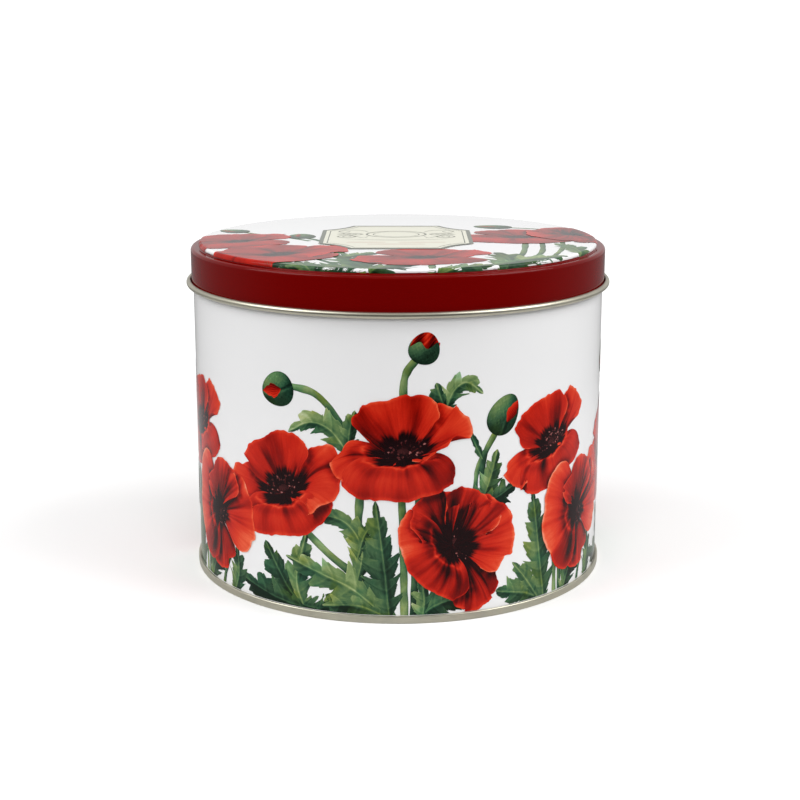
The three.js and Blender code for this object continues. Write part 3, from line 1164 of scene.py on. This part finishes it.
# the wall's picture; places are arc and height in mm
wallArt = {
    "dim": {"petal": 0.02, "leaf": 0.01},  # how much darker each ink is laid
    "contrast": {"petal": 1.0, "leaf": 1.0},  # of the painted tones
    "heart": 1.0,  # size of the dark hearts
    "repeat": 115,  # degrees from one repeat to the next; a white gap is left at the side seam
    "flowers": [  # kind, place of its heart, size, layer, turn in degrees, seed
        ("open", (-43.0, 46.0), 0.96, "flower", 0, 21),
        ("bowl", (2.0, 62.5), 0.98, "front", 0, 22),
        ("round", (20.0, 29.0), 0.94, "front", 0, 23),
        ("bowl", (63.0, 60.5), 0.88, "flower", 14, 24),
        ("tall", (80.5, 31.0), 0.84, "front", -8, 25),
    ],
    "stems": [  # points from the top down, width, tone
        ([(-40.5, 86), (-30, 84), (-22, 76), (-18, 66), (-15, 55)], 2.6, 0.06),
        ([(6.5, 97.5), (3.2, 93), (2, 87), (2.2, 72)], 2.8, 0.10),
        ([(36, 69), (32, 62), (31, 55), (32.5, 42)], 2.4, 0.0),
        ([(32, 63), (29, 56), (28, 44)], 1.8, 0.12),
        ([(-42, 39.5), (-26, 25.5), (-16, 18), (-5, 8), (-2, 2)], 2.9, 0.12),
        ([(-13, 57), (-14.5, 32), (-15.5, 12)], 3.0, 0.14),
        ([(1, 60), (2, 26), (2.4, 1)], 2.8, 0.18),
        ([(8.5, 60), (6.6, 28), (5.6, 1)], 2.8, -0.12),
        ([(18, 15.5), (13.5, 8), (10, 1)], 2.2, 0.02),
        ([(62.5, 60), (65.2, 26), (66, 1)], 2.4, 0.20),
        ([(68, 60), (68.6, 26), (69, 1)], 2.2, -0.02),
        ([(88, 16), (84, 8), (82, 1)], 2.0, 0.02),
    ],
    "leaves": [  # midrib from base to tip, width, lobes, tone, seed
        ([(-36, 3), (-43, 11), (-52.5, 26)], 15, 4, -0.20, 41),
        ([(-35, 2), (-38.5, 14), (-34.0, 32)], 14, 4, 0.12, 42),
        ([(-34, 3), (-48, 5), (-66, 9.5)], 16, 4, -0.28, 43),
        ([(-36, 4), (-28, 4), (-23, 10)], 12, 3, -0.24, 44),
        ([(-15, 14), (-13, 28), (-20, 38), (-34, 39.5)], 12, 4, 0.10, 45),
        ([(-14.5, 24), (-12, 33), (-7.5, 38)], 10, 3, 0.02, 46),
        ([(-4, 2), (-16, 12), (-28, 17), (-43, 22)], 17, 5, 0.12, 48),
        ([(-2, 1), (-14, 6), (-28, 5)], 17, 4, -0.02, 49),
        ([(-3, 1), (-5, 22), (-8, 46)], 16, 6, -0.10, 47),
        ([(7, 0), (13, 6), (27, 10)], 15, 4, -0.04, 50),
        ([(9, 1), (9.5, 9), (8.5, 17)], 9, 3, 0.10, 51),
        ([(60, 1), (50, 6), (37, 9)], 17, 4, -0.02, 53),
        ([(58, 1), (50, 12), (44, 19)], 11, 3, 0.06, 54),
        ([(60, 1), (57, 20), (53, 46)], 16, 6, 0.0, 52),
        ([(30, 42), (34, 52), (37, 63)], 11, 4, 0.02, 55),
        ([(30, 42), (39, 46), (45, 49)], 12, 3, -0.18, 56),
        ([(17, 79), (20, 86), (25, 88.5), (31, 84)], 10, 4, 0.16, 57),
        ([(17, 79), (15, 84), (13.5, 89)], 8, 2, -0.02, 58),
        ([(-17, 62), (-24, 71), (-32, 73.5), (-41, 69)], 12, 4, 0.16, 59),
        ([(-18, 63), (-17, 72), (-15, 79)], 9, 3, 0.02, 60),
        ([(71, 1), (76, 10), (85, 18)], 14, 4, -0.04, 61),
        ([(90, 1), (93, 10), (92, 20)], 12, 4, 0.02, 62),
        ([(31, 60), (27.5, 67), (25.5, 72)], 3.4, 1, 0.0, 63),
    ],
    "buds": [  # place, length, width, heading, slit, its offset, crown, seed
        ((-45.5, 84.0), 14.0, 12.6, 196, 0.85, -0.14, False, 71),
        ((9.4, 101.4), 11.6, 11.0, 72, 0.42, 0.9, True, 72),
        ((39.5, 75.5), 16.0, 12.0, 58, 0.70, -0.60, False, 73),
    ],
}


def printWall():
    # the picture three times round the wall, each a piece of arc further on
    picture = drawPicture(wallArt, "wall")
    arc = math.radians(wallArt["repeat"]) * wallFace
    for suffix, shift in (("_front", 0), ("_right", arc), ("_left", -arc)):
        picture.lay(onWall, "tin", suffix, shift)
    print("wall printed")


printWall()


# the lid's picture, seen from above with the front of the lid at the bottom
lidArt = {
    # on the lid's top the petals are laid darker, a painted shade against the stronger light that falls
    # there, and the tones are pulled towards one half, a painted stand-in for the pale sheen that washes the
    # top
    "dim": {"petal": 0.10, "leaf": -0.02},
    "contrast": {"petal": 0.55, "leaf": 0.8},
    "heart": 0.62,
    "flowers": [  # each row says what the wall's rows say
        ("bowl", (-61, -10), 0.95, "flower", 18, 31),
        ("open", (-43, -44), 1.05, "front", 10, 32),
        ("bowl", (10, -51), 1.0, "flower", 0, 33),
        ("bowl", (48, 2), 1.0, "flower", -8, 34),
        ("round", (69, 10), 0.85, "front", 0, 35),
    ],
    "stems": [
        ([(-67, 23), (-58, 13), (-46, 4), (-34, -8)], 2.0, 0.0),
        ([(-38, 3), (-30, -8), (-24, -22), (-22, -50)], 2.2, 0.02),
        ([(-24, -24), (-18, -50), (-12, -78)], 2.4, 0.10),
        ([(-30, -52), (-22, -66), (-14, -80)], 2.2, -0.05),
        ([(12, -60), (12, -72), (12, -80)], 2.6, 0.12),
        ([(50, -2), (46, -40), (38, -70)], 2.4, 0.10),
        ([(56, -4), (53, -38), (44, -64)], 2.2, 0.0),
        ([(64, 2), (62, -26), (56, -50)], 2.0, 0.06),
        ([(45, 31), (56, 27), (66, 20)], 2.0, 0.0),
    ],
    "leaves": [
        ([(-10, -76), (-16, -60), (-22, -44)], 20, 5, -0.06, 81),
        ([(-12, -74), (-30, -70), (-48, -60)], 17, 5, -0.05, 82),
        ([(-10, -78), (0, -70), (8, -66)], 15, 4, -0.10, 83),
        ([(14, -78), (24, -72), (34, -66)], 15, 4, -0.02, 86),
        ([(38, -72), (40, -54), (36, -38)], 22, 5, -0.06, 84),
        ([(34, -68), (48, -54), (62, -46)], 18, 5, 0.04, 85),
        ([(-30, -74), (-34, -66), (-36, -60)], 12, 4, 0.08, 87),
        ([(68, -40), (66, -26), (60, -14)], 12, 4, 0.10, 88),
        ([(-20, -50), (-12, -42), (-6, -40)], 12, 4, 0.02, 89),
    ],
    "buds": [
        ((-66, 20), 13, 10, 150, 0.4, 0.1, False, 91),
        ((-38, 5), 14, 11, 95, 0.4, 0.1, False, 92),
        ((39, 33), 16, 11, 165, 0.4, -0.3, False, 93),
    ],
}

# the label in the middle of the lid: an oblong with cut corners, mm
labelPlate = {
    "middle": (-0.7, 2.5),
    "halfWidth": 29.6,
    "halfHeight": 32.5,
    "cutWidth": 12.0,
    "cutHeight": 13.5,
    "cutSag": 1.6,  # how far the corner cuts curve inwards
    "border": 1.6,
    "gap": 1.4,
    "innerLine": 0.4,
    "pen": 0.6,
}


def plateOutline(inset):
    # the label's outline moved in by inset, which shrinks the cuts by 3 % a mm; each corner is a cut
    # that sags inwards as a half sine
    cut = 1 - 0.03 * inset
    a, b = labelPlate["halfWidth"] - inset, labelPlate["halfHeight"] - inset
    w, h = labelPlate["cutWidth"] * cut, labelPlate["cutHeight"] * cut
    turn = np.linspace(0, 1, 40)
    sag = labelPlate["cutSag"] * np.sin(np.pi * turn) / math.hypot(w, h)
    quarter = np.stack([a - w * turn - sag * h, b - h * (1 - turn) - sag * w], axis=1)
    corners = [quarter, quarter[::-1] * [-1, 1], quarter * [-1, -1], quarter[::-1] * [1, -1]]
    return np.vstack(corners) + labelPlate["middle"]


def band(outer, inner, rows):
    # a strip between two outlines, in straight steps from one to the other
    share = np.linspace(0, 1, rows)[:, None, None]
    flat = outer[None] * (1 - share) + inner[None] * share
    return flat.reshape(-1, 2), gridFaces(rows, len(outer), closeColumns=True)


def penLine(points, width, taper):
    # a line along a curve; taper thins it towards both ends, with the square of the way from its middle
    path, _ = curveThrough([labelPlate["middle"] + np.array(p) for p in points], 70)
    normal = normalsAlong(path)[1]
    wide = width / 2 * (1 - taper * np.linspace(-1, 1, len(path)) ** 2)
    flat = path[:, None, :] + normal[:, None, :] * (np.array([1, -1]) * wide[:, None])[..., None]
    return flat.reshape(-1, 2), gridFaces(len(path), 2)


def spiral(start, radius, turns, way):
    # points along a scroll whose radius shrinks evenly to nothing
    t = np.linspace(0, 1, 4 * turns + 1)
    angle = t * turns * 2 * np.pi
    reach = radius * (1 - 0.85 * t)
    return [(start[0] + way * r * math.sin(w), start[1] + r * math.cos(w)) for r, w in zip(reach, angle)]


def flourish():
    # an oval in two thin lines between two pairs of scrolls, with a spray of small leaves on each side
    lines = []
    turn = np.linspace(0, 2 * np.pi, 33)
    for radius, pen in ((9.0, 0.9), (7.0, 0.45)):
        lines += [penLine([(radius * 1.3 * math.cos(t), 7 + radius * math.sin(t)) for t in turn], pen, 0.0)]
    for way in (-1, 1):
        lines += [penLine([(way * 11, 1), (way * 13, -3)] + spiral((way * 19, 0), 4.5, 2, way), 0.7, 0.6)]
        lines += [penLine([(way * 11, 13), (way * 14, 18)] + spiral((way * 20, 15), 3.8, 1, way), 0.7, 0.6)]
        for step in range(4):
            x, y = way * (13 + 2.4 * step), 7 + 0.4 * step
            for rise in (-1.6, 1.6):
                leaf = [(x, y), (x + way * 1.6, y + rise), (x + way * 3.4, y + 1.7 * rise)]
                lines += [penLine(leaf, 0.9, 0.9)]
    lines += [penLine([(-20, -6.5), (-10, -8.8), (0, -9.6), (10, -8.8), (20, -6.5)], 0.8, 0.8)]
    return lines


def rules():
    # two broken ruled lines in red where a maker would print a name
    pen = labelPlate["pen"]
    rows = [(-15.5, ((-19, -4), (1, 19))), (-20.5, ((-11, 11),))]
    return [penLine([(a, y), ((a + b) / 2, y), (b, y)], pen, 0.3) for y, spans in rows for a, b in spans]


def layInk(name, ink, shapes, lift, slot="plaque_print"):
    # flat shapes in one plain ink, laid on the lid; a face that looks down is turned over
    starts = np.cumsum([0] + [len(flat) for flat, faces in shapes])
    points, inside = onLid(np.vstack([flat for flat, faces in shapes]), lift)
    faces = np.vstack([faces + start for (flat, faces), start in zip(shapes, starts)])
    across = points[faces[:, 2]] - points[faces[:, 0]], points[faces[:, 3]] - points[faces[:, 1]]
    upward = np.cross(*across)[:, 2] > 0
    faces = np.where(upward[:, None], faces, faces[:, ::-1])
    meshPiece(name, points, faces, {}, inks[ink], "lid", slot)


def printLid():
    # a white ground of rings that close up over the panel's bend, the picture, and the label
    spin = np.linspace(0, 2 * np.pi, 240, endpoint=False)
    ring = np.stack([np.cos(spin), np.sin(spin)], axis=1)
    reaches = [np.linspace(0.5, panelFlat - 1, 12), np.linspace(panelFlat, panelReach - 0.2, 22)]
    reaches = np.concatenate(reaches)
    flat = (reaches[:, None, None] * ring[None]).reshape(-1, 2)
    ground = (flat, gridFaces(len(reaches), len(spin), closeColumns=True))
    layInk("lid_white_ground", "ground", [ground], layers["ground"], "body_print")
    drawPicture(lidArt, "lid").lay(onLid, "lid")
    outline = plateOutline(0)
    middle = np.broadcast_to(labelPlate["middle"], outline.shape)
    layInk("label_plate", "cream", [band(outline, middle, 20)], layers["plate"])
    inner = labelPlate["border"] + labelPlate["gap"]
    borders = [band(outline, plateOutline(labelPlate["border"]), 4),
               band(plateOutline(inner), plateOutline(inner + labelPlate["innerLine"]), 3)]
    label = (("lines", "olive", borders), ("flourish", "sage", flourish()), ("rules", "rose", rules()))
    for name, ink, shapes in label:
        layInk(f"label_{name}", ink, shapes, layers["plateInk"])
    print("lid printed")


printLid()

# light: a pale floor, a tent that is bright overhead and dim low in front, two softboxes and a fill
studio = {
    "floorRadius": 0.42,  # metres; the floor thins out to nothing over its outer half
    "floorSeen": (1.0, 1.0, 1.0),  # what the camera sees
    "floorLit": (0.58, 0.58, 0.58),  # what it throws back on the tin
    "skyTop": 0.47,
    "skyBack": 0.62,
    "skyFront": 0.03,
    "skyUnder": 0.40,  # share of it left below the horizon
    "frontToBack": (-0.8, 0.2),  # the sky's direction along y, where the low part turns
    "lowToTop": (0.28, 0.62),  # and along z
    "horizon": (-0.02, -0.12),
    "backdrop": 1.2,  # what the camera sees past the floor
    "aim": 0.06,  # height in metres that the lamps face
    "lamps": [  # name, place, size, watts, whether it shows in reflections
        ("left softbox", (-1.15, -0.35, 1.15), (1.1, 1.1), 13.8, True),
        ("right softbox", (1.15, -0.30, 1.15), (1.1, 1.1), 15.8, True),
        ("front fill", (0.0, -1.5, 0.90), (1.6, 0.7), 12.0, False),
    ],
}


def makeFloor():
    # a round disc; its own colour to the camera and a darker one to the tin, thinning out to nothing
    radius = studio["floorRadius"]
    spin = np.linspace(0, 2 * np.pi, 96, endpoint=False)
    reach = np.linspace(0.0, 1, 8)[:, None] * radius
    x, y = reach * np.cos(spin), reach * np.sin(spin)
    points = np.stack([x, y, 0 * x], axis=-1).reshape(-1, 3)
    mesh = bpy.data.meshes.new("studio_floor")
    mesh.from_pydata(points, [], gridFaces(8, 96, closeColumns=True)[:, ::-1].tolist())
    weldMesh(mesh)
    finish = Finish("studio_floor")
    cloud = finish.noise(finish.place(), 2)
    shade = tuple(0.99 * c for c in studio["floorSeen"])
    seen = finish.add("ShaderNodeLightPath", output="Is Camera Ray")
    colour = finish.blend(seen, studio["floorLit"], finish.blend(cloud, studio["floorSeen"], shade))
    spot = finish.add("ShaderNodeTexCoord", output="Object")
    reached = finish.add("ShaderNodeVectorMath", {"operation": "LENGTH"}, {0: spot}, output="Value")
    solid = finish.smooth(reached, radius, radius * 0.5)
    mesh.materials.append(finish.surface({"Base Color": colour, "Roughness": 0.9, "Alpha": solid}))
    addObject("studio_floor", mesh)


def makeSky():
    # brightness by direction: low down an S-curve from the front's to the back's, higher up an S-curve
    # to the top's, and below the horizon only a share of it
    world = bpy.data.worlds.new("studio")
    bpy.context.scene.world = world
    sky = Finish(world)
    spot = sky.add("ShaderNodeTexCoord", output="Generated")
    y = sky.add("ShaderNodeSeparateXYZ", values={0: spot}, output="Y")
    z = sky.add("ShaderNodeSeparateXYZ", values={0: spot}, output="Z")
    low = sky.smooth(y, *studio["frontToBack"]) * (studio["skyBack"] - studio["skyFront"])
    low = low + studio["skyFront"]
    above = sky.smooth(z, *studio["lowToTop"])
    under = sky.smooth(z, *studio["horizon"]) * (1 - studio["skyUnder"])
    glow = (low * (1 - above) + above * studio["skyTop"]) * (1 - under)
    seen = sky.add("ShaderNodeLightPath", output="Is Camera Ray")
    strength = glow * (1 - seen) + seen * studio["backdrop"]
    shader = sky.add("ShaderNodeBackground", values={"Color": (1, 1, 1, 1), "Strength": strength})
    sky.add("ShaderNodeOutputWorld", values={"Surface": shader})


def makeStudio():
    # floor, sky and lamps, which face a point half way up the tin
    makeFloor()
    makeSky()
    for name, place, (width, height), watts, reflected in studio["lamps"]:
        lamp = bpy.data.lights.new(name, "AREA")
        lamp.shape = "RECTANGLE"
        lamp.size, lamp.size_y = width, height
        lamp.energy = watts
        holder = addObject(name, lamp)
        holder.location = place
        holder.visible_camera = False
        holder.visible_glossy = reflected
        towards = np.array([0, 0, studio["aim"]]) - np.array(place)
        holder.rotation_euler = Vector(towards).to_track_quat("-Z", "Y").to_euler()
    bpy.context.scene.view_settings.view_transform = "Standard"
    print("studio lit")


makeStudio()
